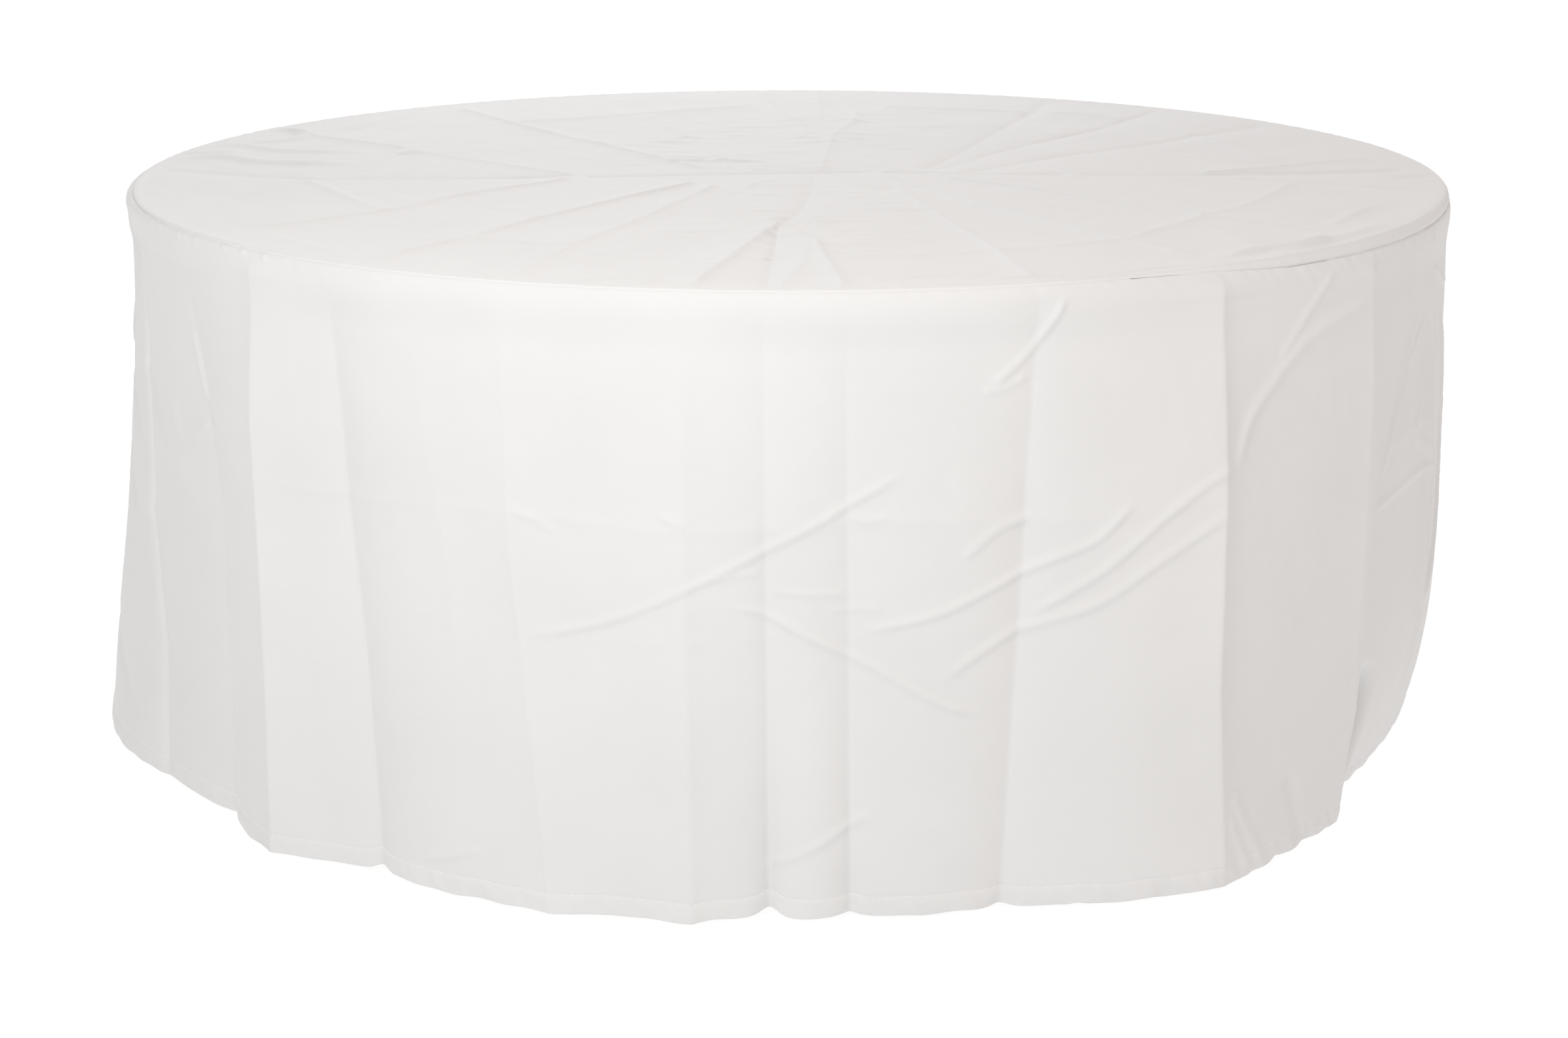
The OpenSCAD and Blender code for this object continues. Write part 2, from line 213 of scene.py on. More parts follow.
# Drag lines: points (azimuth, height), height of the ridge in millimetres, half width in millimetres.
DRAG_LINES = [
    ([(-20.1, .340), (-13.1, .370), (-7.8, .410), (-3.3, .445), (.8, .480), (4.1, .510), (9.0, .556)],
     3.0, 4.6),
    ([(4.9, .357), (10.7, .375), (15.6, .406), (19.7, .433), (23.0, .453), (25.4, .486), (26.9, .504)],
     3.2, 4.8),
    ([(10.7, .289), (13.9, .322), (17.6, .351), (23.0, .375), (27.1, .412), (31.2, .449), (34.6, .480)],
     3.0, 5.5),
    ([(17.6, .363), (23.8, .418), (27.9, .467), (31.5, .505), (34.9, .533)], 3.2, 5.5),
    ([(34.9, .510), (36.5, .572), (39.4, .615), (43.5, .658), (49.2, .683), (52.5, .686)], 3.2, 8.0),
    ([(40.0, .640), (42.5, .675), (45.0, .712), (47.0, .745)], 2.0, 6.0),
    ([(14.8, .646), (17.6, .683), (19.7, .726), (20.5, .756)], 2.8, 4.6),
    ([(14.0, .640), (16.0, .645), (17.8, .658)], 1.6, 4.5),
    ([(-4.9, .391), (-2.0, .381), (2.5, .344), (6.6, .310), (10.7, .270), (14.8, .244)], 2.6, 4.6),
    ([(-20.9, .494), (-19.0, .486), (-17.2, .470)], 1.4, 4.5),
    ([(12.7, .440), (15.6, .474), (18.4, .486)], 2.4, 5.5),
    ([(-6.0, .420), (-4.0, .428), (-2.0, .430)], 1.2, 4.0),
    ([(-1.6, .408), (1.0, .406), (4.1, .404)], 1.4, 3.6),
    ([(3.0, .384), (5.0, .386), (7.0, .384)], 1.2, 3.6),
    ([(-9.5, .500), (-8.3, .492), (-7.6, .484)], 1.8, 5.0),
    ([(4.2, .500), (5.5, .492), (7.2, .496)], 1.4, 5.0),
    ([(-28.7, .040), (-26.0, .052), (-23.4, .068)], 2.2, 4.8),
    ([(-2.0, .064), (1.6, .092), (3.8, .112), (6.2, .135)], 2.4, 5.0),
    ([(54.0, .406), (59.0, .418), (64.0, .424), (69.7, .427)], 2.6, 5.5),
    ([(72.0, .640), (75.0, .500), (75.5, .400), (73.0, .300), (69.0, .200)], 5.5, 5.0),
    ([(70.0, .400), (67.0, .450), (64.0, .480), (66.0, .520)], 2.0, 7.0),
    ([(55.5, .440), (58.5, .520), (61.0, .590), (63.5, .650)], 2.6, 6.0),
    ([(57.0, .480), (60.0, .560), (63.5, .610), (66.5, .640)], 2.2, 5.0),
    ([(67.6, .690), (70.0, .680), (73.5, .662), (77.0, .650)], 2.4, 5.5),
    ([(-75.0, .560), (-70.0, .500), (-66.0, .455), (-60.0, .430)], 3.4, 11.0),
    ([(-62.0, .545), (-62.5, .500), (-60.0, .480), (-55.5, .520)], 2.4, 8.0),
    ([(-57.5, .640), (-56.2, .560), (-53.8, .520)], 3.0, 6.0),
    ([(-88.0, .540), (-82.0, .500), (-77.0, .450), (-73.0, .390)], -4.0, 11.0),
    ([(-88.0, .600), (-82.0, .570), (-78.0, .560)], 3.0, 8.0),
    ([(-86.0, .430), (-80.0, .380), (-76.0, .330)], -3.0, 12.0),
    ([(-88.0, .180), (-82.0, .150), (-76.0, .110), (-70.0, .060)], -3.0, 12.0),
    ([(-76.0, .360), (-70.0, .330), (-64.0, .310)], 2.4, 14.0),
    ([(33.6, .090), (34.8, .050), (36.4, .000)], 3.0, 7.0),
    ([(34.0, .120), (36.0, .060), (38.6, .000)], 3.2, 9.0),
    ([(41.0, .110), (43.0, .060), (44.0, .010)], -4.0, 12.0),
    ([(116.0, .300), (124.0, .360), (131.0, .430), (138.0, .520)], 2.8, 5.5),
    ([(128.0, .250), (136.0, .300), (144.0, .380), (151.0, .420)], 2.6, 5.5),
    ([(160.0, .520), (170.0, .450), (180.0, .400), (188.0, .370)], 2.8, 5.0),
    ([(178.0, .330), (186.0, .290), (195.0, .270)], 2.2, 5.0),
    ([(205.0, .610), (212.0, .540), (217.0, .470)], 2.8, 5.5),
    ([(222.0, .360), (230.0, .410), (238.0, .480), (243.0, .540)], 2.8, 5.5),
    ([(245.0, .280), (252.0, .330), (258.0, .400)], 2.6, 6.5),
    ([(96.0, .560), (101.0, .500), (108.0, .450)], 2.6, 6.5),
]
SLIM = 0.75     # how narrow the drag lines are, against the half widths listed

FOLD_FEET = np.array([fold["line"][-1][0] for fold in FOLDS.values()], float)


def fold_azimuth(column, z):
    """Azimuth at height z of the thread line that meets the hem at azimuth column."""
    lines = [reversed(fold["line"]) for fold in FOLDS.values()]
    at = np.stack([np.interp(z, *zip(*[(h, a) for a, h in line])) for line in lines])
    i = np.clip(np.searchsorted(FOLD_FEET, column, side="right") - 1, 0, len(FOLD_FEET) - 2)
    t = (column - FOLD_FEET[i]) / (FOLD_FEET[i + 1] - FOLD_FEET[i])
    rows = np.arange(z.size).reshape(z.shape)
    flat = at.reshape(len(FOLD_FEET), -1)
    return flat[i, rows] * (1 - t) + flat[i + 1, rows] * t


def between_folds(column, key, bow=False):
    """A value given at each fold, carried straight across to the next one, or bowed, in metres."""
    values = np.array([fold[key] for fold in FOLDS.values()], float)
    out = np.interp(column, FOLD_FEET, values)
    if bow:
        i = np.clip(np.searchsorted(FOLD_FEET, column, side="right") - 1, 0, len(FOLD_FEET) - 2)
        t = np.clip((column - FOLD_FEET[i]) / (FOLD_FEET[i + 1] - FOLD_FEET[i]), 0, 1)
        bows = np.array([fold["bow"] for fold in FOLDS.values()], float)
        out = out + bows[i] * np.sin(math.pi * t)
    return out / 1000


def off_left_seam(az):
    """0 at the left side seam, where the skirt's two ends meet, and 1 from a few degrees away."""
    return soften(np.minimum(az + 90, 270 - az) / 5)


def hang_share(z):
    """0 at the table's edge, 1 at the hem."""
    return np.clip((EDGE_FOOT - z) / HANG, 0, 1)


def skirt_relief(column, az, z):
    """How far the skirt stands out from the table's edge line at each point, in metres."""
    s = hang_share(z)
    out = between_folds(column, "reach", bow=True) * s ** 1.3
    out += between_folds(column, "belly") * np.sin(math.pi * s ** 0.7)
    for foot, fold in zip(FOLD_FEET, FOLDS.values()):
        if "edge" not in fold:
            continue
        hem, mid, left, right, top = fold["edge"]
        d = np.radians(column - foot) * EDGE_R * 1000
        w = np.where(d > 0, right, left)
        shape = np.exp(-(np.sqrt(d * d + 1.2) - 1.1) / w)
        level = np.interp(z, [0.0, 0.12, 0.36, 0.56, top - 0.05, top, 1.0],
                          [hem, 0.5 * hem + 0.5 * mid, mid, mid * 0.85, mid * 0.45, 0, 0])
        out += shape * level / 1000
    tuck = soften((az - TUCK_STARTS) / (TUCK_FULL - TUCK_STARTS))
    tuck = tuck * (1 - soften((az - TUCK_EASES) / (TUCK_ENDS - TUCK_EASES)))
    out -= TUCK_DEPTH * tuck * np.clip(1 - z / TUCK_TOP, 0, 1) ** 2.3
    u = np.radians(az) * EDGE_R
    width = math.radians(1) * EDGE_R
    for points, height, half in DRAG_LINES:
        add_stroke(out, u, z, [(a * width, h) for a, h in points], height / 1000, SLIM * half / 1000,
                   kind="ridge")
    add_stroke(out, u, z, [(a * width, h) for a, h in POCKET], -POCKET_DEPTH, POCKET_LEFT, POCKET_RIGHT,
               kind="ridge", start=0.6, end=0)
    # the pressed line half-way down, and a fainter one lower down
    add_stroke(out, u, z, [(a * width, 0.486 + 0.006 * math.sin(a * 0.21)) for a in range(-90, 271, 6)],
               0.0007, 0.006, kind="ridge", start=0, end=0)
    add_stroke(out, u, z, [(a * width, 0.350 + 0.004 * math.sin(a * 0.13)) for a in range(-90, 271, 6)],
               0.0003, 0.005, kind="ridge", start=0, end=0)
    noise = 0.0009 * soften(s / 0.2) * wander(u, z, 0.16, 7, 11, 0.55)
    noise += 0.00022 * soften(s / 0.1) * wander(u, z, 0.045, 9, 12)
    out += noise * off_left_seam(az)
    return out


def hem_relief(az, above):
    """The hem's own relief: the dent at its stitches and the puckers below them."""
    u = np.radians(az) * EDGE_R
    low = np.clip(1 - above / HEM_DEPTH, 0, 1)
    busy = np.interp(az, [-90, -60, -33, -31, 10, 16, 45, 50, 90, 150, 200, 270],
                     [0.7, 0.5, 0.4, 0.9, 0.8, 1.5, 1.8, 1.2, 0.8, 1.0, 1.4, 0.7])
    dent = -0.0007 * np.exp(-0.5 * ((above - HEM_DEPTH + 0.0025) / 0.0016) ** 2)
    arch = np.sin(np.pi * np.clip(above / HEM_DEPTH, 0, 1))
    swell = 0.0008 * arch * (1 + 0.5 * wander(u, above, 0.05, 5, 31))
    roping = 0.0009 * busy * wander(u + 0.5 * above, above * 0.1, 0.020, 6, 32) * arch ** 0.7
    flare = 0.0030 * busy * wander(u, above * 0.2, 0.060, 5, 33) * low ** 1.3
    uneven = (swell + roping + flare) * off_left_seam(az)
    return np.where(above < HEM_DEPTH + 0.006, dent + uneven, 0.0)


# Notches in the hem: azimuth, height in millimetres, width in degrees.
HEM_NOTCHES = [(-1.5, 8, .6), (-33.5, 7, .6), (16, 3, .5), (4.5, 2, .5), (21.5, 2, .4), (40, 4, .5),
               (44, 5, .6), (48, 3, .5), (121, 4, .6), (174, 5, .6), (214, 4, .6)]


def hem_lift(az):
    """How far the hem's lowest line rises and falls round the table."""
    u = np.radians(az) * EDGE_R
    notches = sum(h * np.exp(-0.5 * ((az - a) / w) ** 2) for a, h, w in HEM_NOTCHES)
    return notches / 1000 + 0.0011 * (1 + off_left_seam(az) * wander(u, u * 0, 0.07, 6, 34))


# ---------------------------------------------------------------- the rim

# Azimuth, and how far down the cloth from the start of the roll the seam lies there, in millimetres.
SEAM_DROP = [(-90, 3), (-75, 4), (-60, 5), (-20, 5), (26, 5), (33, 8), (37, 12), (41, 16), (50, 18), (66, 18),
             (78, 16), (86, 14), (90, 12), (120, 6), (180, 5), (230, 5), (255, 4), (270, 3)]
# Azimuth, and how deep the seam's dent is there, in millimetres.
SEAM_GAP = [(-90, 3.0), (-78, 3.0), (-72, 1.4), (-30, 1.0), (25, 1.0), (37, 1.6), (42, 2.4), (66, 2.6),
            (76, 1.8), (90, 1.6), (180, 1.0), (230, 1.4), (250, 2.4), (270, 3.0)]

PUCKERED = (-76, -44)      # the stretch of the seam, in degrees, drawn up into small diagonal puckers
PUCKERS = 10


def seam_place(az):
    """Distance from where the cloth starts to roll over the edge to the seam, along the cloth."""
    return np.interp(az, *zip(*SEAM_DROP)) / 1000


def rim_profile(q):
    """Radius, height and outward direction at distance q along the cloth from the start of the roll."""
    turn = np.interp(q, ROLL_PATH, ROLL_TURN)
    slack = ROLL_SLACK * soften((q - ROLL_ARC) / 0.045)
    r = EDGE_R - ROLL_IN + ROLL_IN * np.sin(turn) + np.minimum(q, 0) - slack
    z = CLOTH_TOP - ROLL_DOWN + ROLL_DOWN * np.cos(turn) - np.maximum(q - ROLL_ARC, 0)
    nr, nz = np.sin(turn) / ROLL_IN, np.cos(turn) / ROLL_DOWN
    size = np.hypot(nr, nz)
    return r, z, nr / size, nz / size


def rim_relief(az, q):
    """The seam's dent, the roll beside it and the small puckers along it."""
    u = np.radians(az) * EDGE_R
    d = q - seam_place(az)
    gap = np.interp(az, *zip(*SEAM_GAP)) / 1000
    dent = -gap * np.exp(-np.abs(d) / 0.0020)
    lip = 0.5 * gap * np.exp(-0.5 * ((d + 0.007) / 0.0040) ** 2)
    roll = np.interp(az, [-90, -74, -64, 235, 255, 270], [4.5, 3.5, 0, 0, 3.0, 4.5]) / 1000
    lip += roll * np.exp(-0.5 * ((d - 0.011) / 0.0065) ** 2)
    busy = np.interp(az, [-90, -76, -72, -44, -36, 30, 40, 66, 90, 150, 230, 270],
                     [0.7, 0.7, 0.5, 0.4, 0.4, 0.4, 0.7, 0.8, 0.7, 0.6, 0.8, 0.7])
    below = np.exp(-np.clip(d, 0, None) / 0.012) * soften(d / 0.003)
    above = np.exp(-np.clip(-d, 0, None) / 0.010) * soften(-d / 0.003)
    pucker = 0.0018 * busy * wander(u - 0.9 * np.clip(d, 0, None), u * 0, 0.026, 6, 41) * below
    pucker += 0.0008 * busy * wander(u, u * 0, 0.018, 6, 42) * above
    pucker *= off_left_seam(az)
    rs = np.random.RandomState(43)
    for place in np.linspace(*PUCKERED, PUCKERS):
        at = math.radians(place + rs.uniform(-1, 1)) * EDGE_R
        long = rs.uniform(0.010, 0.015)
        lean = at + 0.7 * np.clip(d, 0, None)
        ends = soften(d / 0.003) * soften((long - d) / 0.006)
        pucker += 0.0018 * np.exp(-0.5 * ((u - lean) / 0.0030) ** 2) * ends
    return dent + lip + pucker


def outside_table(r, z):
    """Moves points that have sunk into the table's top back out to its nearest face."""
    clear = 0.0009
    up, out = TABLE_TOP + clear - z, TABLE_R + clear - r
    inside = (up > 0) & (out > 0) & (up < 0.040)
    return np.where(inside & (out < up), r + out, r), np.where(inside & (out >= up), z + up, z)


def skirt_xyz(column, q):
    """Points of the skirt's outer face; q runs down the cloth from the start of the rim's roll."""
    r0, z, nr, nz = rim_profile(q)
    lift = hem_lift(column) * hang_share(z) ** 6
    z = z + lift
    az = fold_azimuth(column, z)
    seam = seam_place(az)
    relief = skirt_relief(column, az, z) * soften((q - seam) / 0.030)
    relief = relief - 0.0012 * (q < seam)      # the first row is tucked under the top panel's edge
    relief = relief + rim_relief(az, q) + hem_relief(az, z - lift - HEM_Z)
    r, z = outside_table(r0 + nr * relief, z + nz * relief)
    a = np.radians(az)
    return r * np.sin(a), -r * np.cos(a), z


def grid_mesh(name, x, y, z, u, v, closed=False, cap=None):
    """A mesh of quads over a grid of points, rows first, with its cut-cloth coordinates as UVs."""
    rows, cols = x.shape
    verts = np.stack([x, y, z], -1).reshape(-1, 3)
    i = np.arange(rows - 1)[:, None]
    j = np.arange(cols if closed else cols - 1)[None, :]
    k = (j + 1) % cols
    corners = np.broadcast_arrays(i * cols + j, i * cols + k, (i + 1) * cols + k, (i + 1) * cols + j)
    quads = np.stack(corners, -1)
    quads = quads.reshape(-1, 4)
    loops = quads.ravel()
    starts = np.arange(len(quads)) * 4
    totals = np.full(len(quads), 4)
    if cap is not None:
        verts = np.vstack([verts, cap])
        fan = np.stack([np.full(cols, len(verts) - 1), (np.arange(cols) + 1) % cols, np.arange(cols)], -1)
        starts = np.concatenate([starts, len(loops) + np.arange(cols) * 3])
        totals = np.concatenate([totals, np.full(cols, 3)])
        loops = np.concatenate([loops, fan.ravel()])
    mesh = bpy.data.meshes.new(name)
    mesh.vertices.add(len(verts))
    mesh.vertices.foreach_set("co", verts.astype(np.float32).ravel())
    mesh.loops.add(len(loops))
    mesh.loops.foreach_set("vertex_index", loops.astype(np.int32))
    mesh.polygons.add(len(starts))
    mesh.polygons.foreach_set("loop_start", starts.astype(np.int32))
    mesh.polygons.foreach_set("loop_total", totals.astype(np.int32))
    mesh.update(calc_edges=True)
    mesh.validate()
    uv = np.stack([u, v], -1).reshape(-1, 2)
    if cap is not None:
        uv = np.vstack([uv, [[0, 0]]])
    layer = mesh.uv_layers.new(name="cut")
    layer.data.foreach_set("uv", uv[loops].astype(np.float32).ravel())
    mesh.polygons.foreach_set("use_smooth", np.ones(len(starts), bool))
    obj = bpy.data.objects.new(name, mesh)
    bpy.context.scene.collection.objects.link(obj)
    return obj


def skirt_rows():
    """Distances down the cloth from the seam, close together at the rim and the hem."""
    full = ROLL_ARC + CLOTH_TOP - ROLL_DOWN - HEM_Z
    top = np.linspace(0, 0.036, 22)
    hem = full - np.linspace(0.030, 0, 18)
    middle = np.linspace(top[-1], hem[0], 200)[1:-1]
    return np.concatenate([top, middle, hem])


def make_skirt(name, first, last, columns):
    """One half of the skirt, from its row under the seam down to the hem's lowest line."""
    column = np.linspace(first, last, columns + 1)[None, :]
    q = skirt_rows()[:, None]
    seam = seam_place(column)
    full = skirt_rows()[-1]
    q = np.vstack([seam - 0.0010, seam + q * (full - seam) / full])
    column = np.broadcast_to(column, q.shape)
    x, y, z = skirt_xyz(column, q)
    return grid_mesh(name, x, y, z, np.radians(column) * EDGE_R, -q)


# ---------------------------------------------------------------- the top panel

# Creases: points in metres, height in millimetres (valleys are negative), bank widths in millimetres.
TOP_CREASES = [
    ([(-.905, .030), (-.685, -.055), (-.520, -.055), (-.295, -.050)], -2.8, 8, 34),
    ([(-.295, -.050), (-.095, -.020), (.035, -.005), (.130, .000)], -2.2, 8, 13),
    ([(.130, .000), (.230, -.010), (.400, -.020)], -3.0, 7, 13),
    ([(.400, -.020), (.580, -.025), (.740, -.010), (.890, .020)], -2.2, 8, 13),
    ([(-.115, .005), (-.270, .240), (-.430, .490), (-.545, .700)], 2.8, 8, 16),
    ([(-.080, .010), (-.130, .240), (-.190, .460), (-.230, .600)], 2.0, 8, 10),
    ([(.045, .000), (.060, .240), (.075, .390), (.105, .530), (.110, .670)], 2.2, 10, 8),
    ([(.035, .370), (.010, .530), (-.020, .660), (-.050, .910)], 1.6, 8, 8),
    ([(.050, .530), (.050, .910)], 0.9, 5, 5),
    ([(.190, .010), (.270, .250), (.340, .480), (.390, .630), (.430, .800)], -2.2, 7, 16),
    ([(.195, .005), (.340, .250), (.470, .430), (.600, .670)], -2.6, 7, 16),
    ([(.245, -.010), (.370, .130), (.570, .310), (.750, .500)], -2.6, 8, 18),
    ([(.580, -.015), (.710, .040), (.850, .130)], 2.4, 9, 10),
    ([(.580, -.030), (.690, -.090), (.890, -.180)], -2.4, 8, 14),
    ([(.195, -.010), (.230, -.080), (.320, -.170), (.530, -.400), (.670, -.510)], 3.4, 18, 8),
    ([(.115, -.020), (.170, -.120), (.330, -.440), (.500, -.710)], 2.8, 14, 7),
    ([(.145, -.150), (.190, -.370), (.250, -.650), (.290, -.875)], 2.2, 12, 7),
    ([(.035, .000), (.030, -.170), (.010, -.370), (-.015, -.450)], -2.4, 8, 8),
    ([(-.095, -.120), (-.190, -.420), (-.270, -.630), (-.325, -.830)], 3.0, 8, 14),
    ([(-.120, -.110), (-.290, -.370), (-.400, -.570), (-.500, -.720)], 4.0, 8, 26),
    ([(-.295, -.070), (-.450, -.240), (-.520, -.360), (-.685, -.500)], 3.6, 8, 24),
    ([(-.300, -.050), (-.530, .170), (-.565, .220)], 2.6, 12, 8),
    ([(-.565, .220), (-.730, .360), (-.820, .460)], 3.0, 12, 9),
    ([(-.650, -.055), (-.565, .190)], -3.0, 7, 14),
    ([(-.685, -.060), (-.610, -.210), (-.530, -.380)], 2.4, 7, 9),
    ([(-.010, -.440), (-.045, -.600), (-.115, -.905)], 5.0, 9, 20),
    ([(-.014, -.450), (-.020, -.700), (-.028, -.912)], -3.4, 9, 6),
    ([(.030, -.580), (.042, -.720), (.062, -.910)], 4.4, 9, 9),
    ([(.008, -.500), (.020, -.620), (.012, -.760), (-.015, -.900)], 2.4, 9, 9),
    ([(-.430, .490), (-.230, .600), (-.040, .715)], 3.0, 8, 20),
    ([(.145, .695), (.390, .625)], 2.4, 8, 16),
    ([(.390, .625), (.500, .580), (.610, .390), (.710, .050)], 2.4, 9, 12),
    ([(.710, -.090), (.630, -.260), (.540, -.400), (.415, -.580)], 2.2, 10, 8),
    ([(.415, -.580), (.250, -.660), (.045, -.710)], 2.2, 10, 10),
    ([(-.090, -.735), (-.250, -.680)], 2.0, 8, 8),
    ([(-.270, -.630), (-.400, -.570)], 2.2, 8, 8),
    ([(-.060, -.660), (-.025, -.710)], 1.8, 6, 7),
]

# Soft wrinkles: points, height in millimetres, half width in millimetres.
TOP_WRINKLES = [
    ([(-.910, .130), (-.820, .130), (-.760, .080), (-.680, .070), (-.600, .085)], 5.8, 11),
    ([(-.860, .290), (-.800, .240), (-.730, .190), (-.600, .185)], 4.4, 10),
    ([(-.850, .270), (-.780, .290), (-.735, .350), (-.790, .440)], 4.4, 9),
    ([(-.630, .580), (-.665, .490), (-.690, .380)], 3.7, 9),
    ([(-.700, .380), (-.640, .460), (-.640, .600)], -2.7, 12),
    ([(-.905, .180), (-.850, .175), (-.800, .200)], 3.4, 9),
    ([(.790, -.280), (.730, -.390), (.680, -.500)], 2.4, 6),
    ([(.670, -.510), (.655, -.590), (.560, -.665), (.505, -.715)], 7.1, 8),
    ([(.610, -.600), (.560, -.560), (.540, -.500)], 2.7, 14),
    ([(.790, -.420), (.720, -.520), (.640, -.620), (.560, -.700)], 5.1, 9),
    ([(.890, -.180), (.860, -.290), (.800, -.420)], 3.4, 10),
    ([(.840, -.060), (.880, -.050), (.905, -.060)], -4.2, 12),
    ([(.600, -.010), (.700, -.020), (.800, -.010), (.900, .010)], -3.4, 10),
    ([(.360, -.820), (.440, -.770), (.520, -.740)], 2.4, 5),
    ([(.210, -.860), (.290, -.830), (.350, -.825), (.400, -.790)], 2.0, 4),
    ([(.060, -.840), (.120, -.850), (.170, -.825), (.260, -.840)], 2.2, 5),
    ([(.080, -.880), (.150, -.885), (.230, -.870)], 2.0, 4),
    ([(-.300, -.850), (-.240, -.855), (-.190, -.840), (-.140, -.860)], 2.7, 5),
    ([(-.190, -.890), (-.165, -.865), (-.145, -.850)], 2.4, 5),
    ([(-.420, -.780), (-.360, -.800), (-.320, -.830)], 2.0, 6),
    ([(-.680, -.520), (-.620, -.590), (-.560, -.660), (-.520, -.710)], 2.4, 8),
    ([(-.180, -.510), (-.110, -.520), (-.040, -.510)], 2.4, 6),
    ([(.040, -.520), (.110, -.500), (.180, -.515)], 2.0, 6),
    ([(-.040, -.425), (-.005, -.400), (.015, -.420)], 3.1, 8),
    ([(.060, .540), (.105, .520), (.150, .500)], 2.4, 8),
    ([(.110, .470), (.200, .465), (.280, .460)], 1.7, 8),
    ([(-.110, .450), (-.050, .460), (.010, .450)], 1.7, 8),
    ([(-.130, .085), (-.080, .090), (-.010, .085)], 2.4, 6),
    ([(-.180, .075), (-.140, .090), (-.110, .100)], 2.0, 6),
    ([(-.055, .060), (-.050, .030), (-.020, .005)], 2.0, 6),
    ([(-.060, -.160), (-.050, -.120), (-.010, -.070)], 2.0, 5),
    ([(.080, .350), (.100, .320), (.120, .330)], 2.7, 10),
    ([(.010, .350), (.030, .330), (.050, .340)], -2.4, 10),
]

# Strips where the cloth is finely rippled across: low and high corner, count, height in millimetres.
RIPPLED = [((-.10, -.70), (.17, -.10), 36, 1.9), ((-.24, .05), (.06, .36), 26, 1.7),
           ((.06, .10), (.26, .56), 16, 1.1), ((-.14, .36), (.10, .56), 14, 1.4)]

PRESS = 1.5    # how deep the top's creases are pressed, against the heights listed


def top_relief(x, y):
    """How far the top panel stands above its flat face at each point, in metres."""
    h = np.zeros(x.shape)
    for points, height, left, right in TOP_CREASES:
        add_stroke(h, x, y, points, PRESS * height / 1000, left / 1000, right / 1000, start=0.05, end=0.08)
    for points, height, half in TOP_WRINKLES:
        add_stroke(h, x, y, points, height / 1000, half / 1000, kind="ridge", start=0.3, end=0.3)
    rs = np.random.RandomState(21)
    for (x0, y0), (x1, y1), count, height in RIPPLED:
        for _ in range(count):
            cx, cy = rs.uniform(x0, x1), rs.uniform(y0, y1)
            span, tilt = rs.uniform(0.025, 0.07), rs.uniform(-0.15, 0.15)
            middle = (cx, cy + rs.uniform(-.004, .004))
            points = [(cx - span, cy - span * tilt), middle, (cx + span, cy + span * tilt)]
            add_stroke(h, x, y, points, rs.uniform(0.4, 1.0) * height / 1000, rs.uniform(0.005, 0.010),
                       kind="ridge", start=0.4, end=0.4)
    h += 0.0008 * wander(x, y, 0.22, 8, 22) + 0.0003 * wander(x, y, 0.06, 9, 23)
    return h


def make_top(name):
    """The top panel: rings on the flat, then rows over the table's edge down to the seam."""
    columns = FRONT_COLUMNS + BACK_COLUMNS
    front = np.linspace(-90, 90, FRONT_COLUMNS + 1)[:-1]
    back = np.linspace(90, 270, BACK_COLUMNS + 1)[:-1]
    column = np.concatenate([front, back])[None, :]
    az = fold_azimuth(column, np.full(column.shape, CLOTH_TOP))
    flat_r = EDGE_R - ROLL_IN
    rings = np.concatenate([np.linspace(0.004, flat_r - 0.012, TOP_RINGS),
                            np.linspace(flat_r - 0.008, flat_r, 3)])
    over = np.linspace(0, 1, 14)[1:]
    flat_q = rings[:, None] - flat_r
    bend_q = over[:, None] * seam_place(az)
    q = np.concatenate([np.broadcast_to(flat_q, (len(rings), columns)), bend_q])
    az = np.broadcast_to(az, q.shape)
    a = np.radians(az)
    r, z, nr, nz = rim_profile(q)
    x, y = r * np.sin(a), -r * np.cos(a)
    held = 1 - 0.5 * soften((r - 0.87) / 0.045)
    relief = top_relief(x, y) * held * soften((seam_place(az) - q) / 0.016)
    relief += rim_relief(az, q) * soften((q + 0.03) / 0.01)
    # the table below stops the cloth from sinking
    floor = -(CLOTH_TOP - TABLE_TOP - 0.0010)
    sinking = floor - floor / 2 * np.exp((relief - floor / 2) / -(floor / 2))
    relief = np.where(relief < floor / 2, sinking, relief)
    r, z = outside_table(r + nr * relief, z + nz * relief)
    x, y = r * np.sin(a), -r * np.cos(a)
    return grid_mesh(name, x, y, z, x, y, closed=True, cap=[[0, 0, float(z[0].mean())]])


# ---------------------------------------------------------------- hem, seams and stitches

def face_frame(points):
    """Unit outward normals of a grid of points."""
    dr = np.gradient(points, axis=0)
    dc = np.gradient(points, axis=1)
    n = np.cross(dc, dr)
    n /= np.linalg.norm(n, axis=-1, keepdims=True) + 1e-12
    outward = (n[..., 0] * points[..., 0] + n[..., 1] * points[..., 1]) < 0
    n[outward] *= -1
    return n


def skirt_strip(first, last, columns, q_rows):
    """Points of the skirt's outer face on a grid of columns and distances down the cloth."""
    column = np.linspace(first, last, columns + 1)[None, :]
    column, q = np.broadcast_arrays(column, np.asarray(q_rows)[:, None])
    p = np.stack(skirt_xyz(column, q), -1)
    return column, q, p


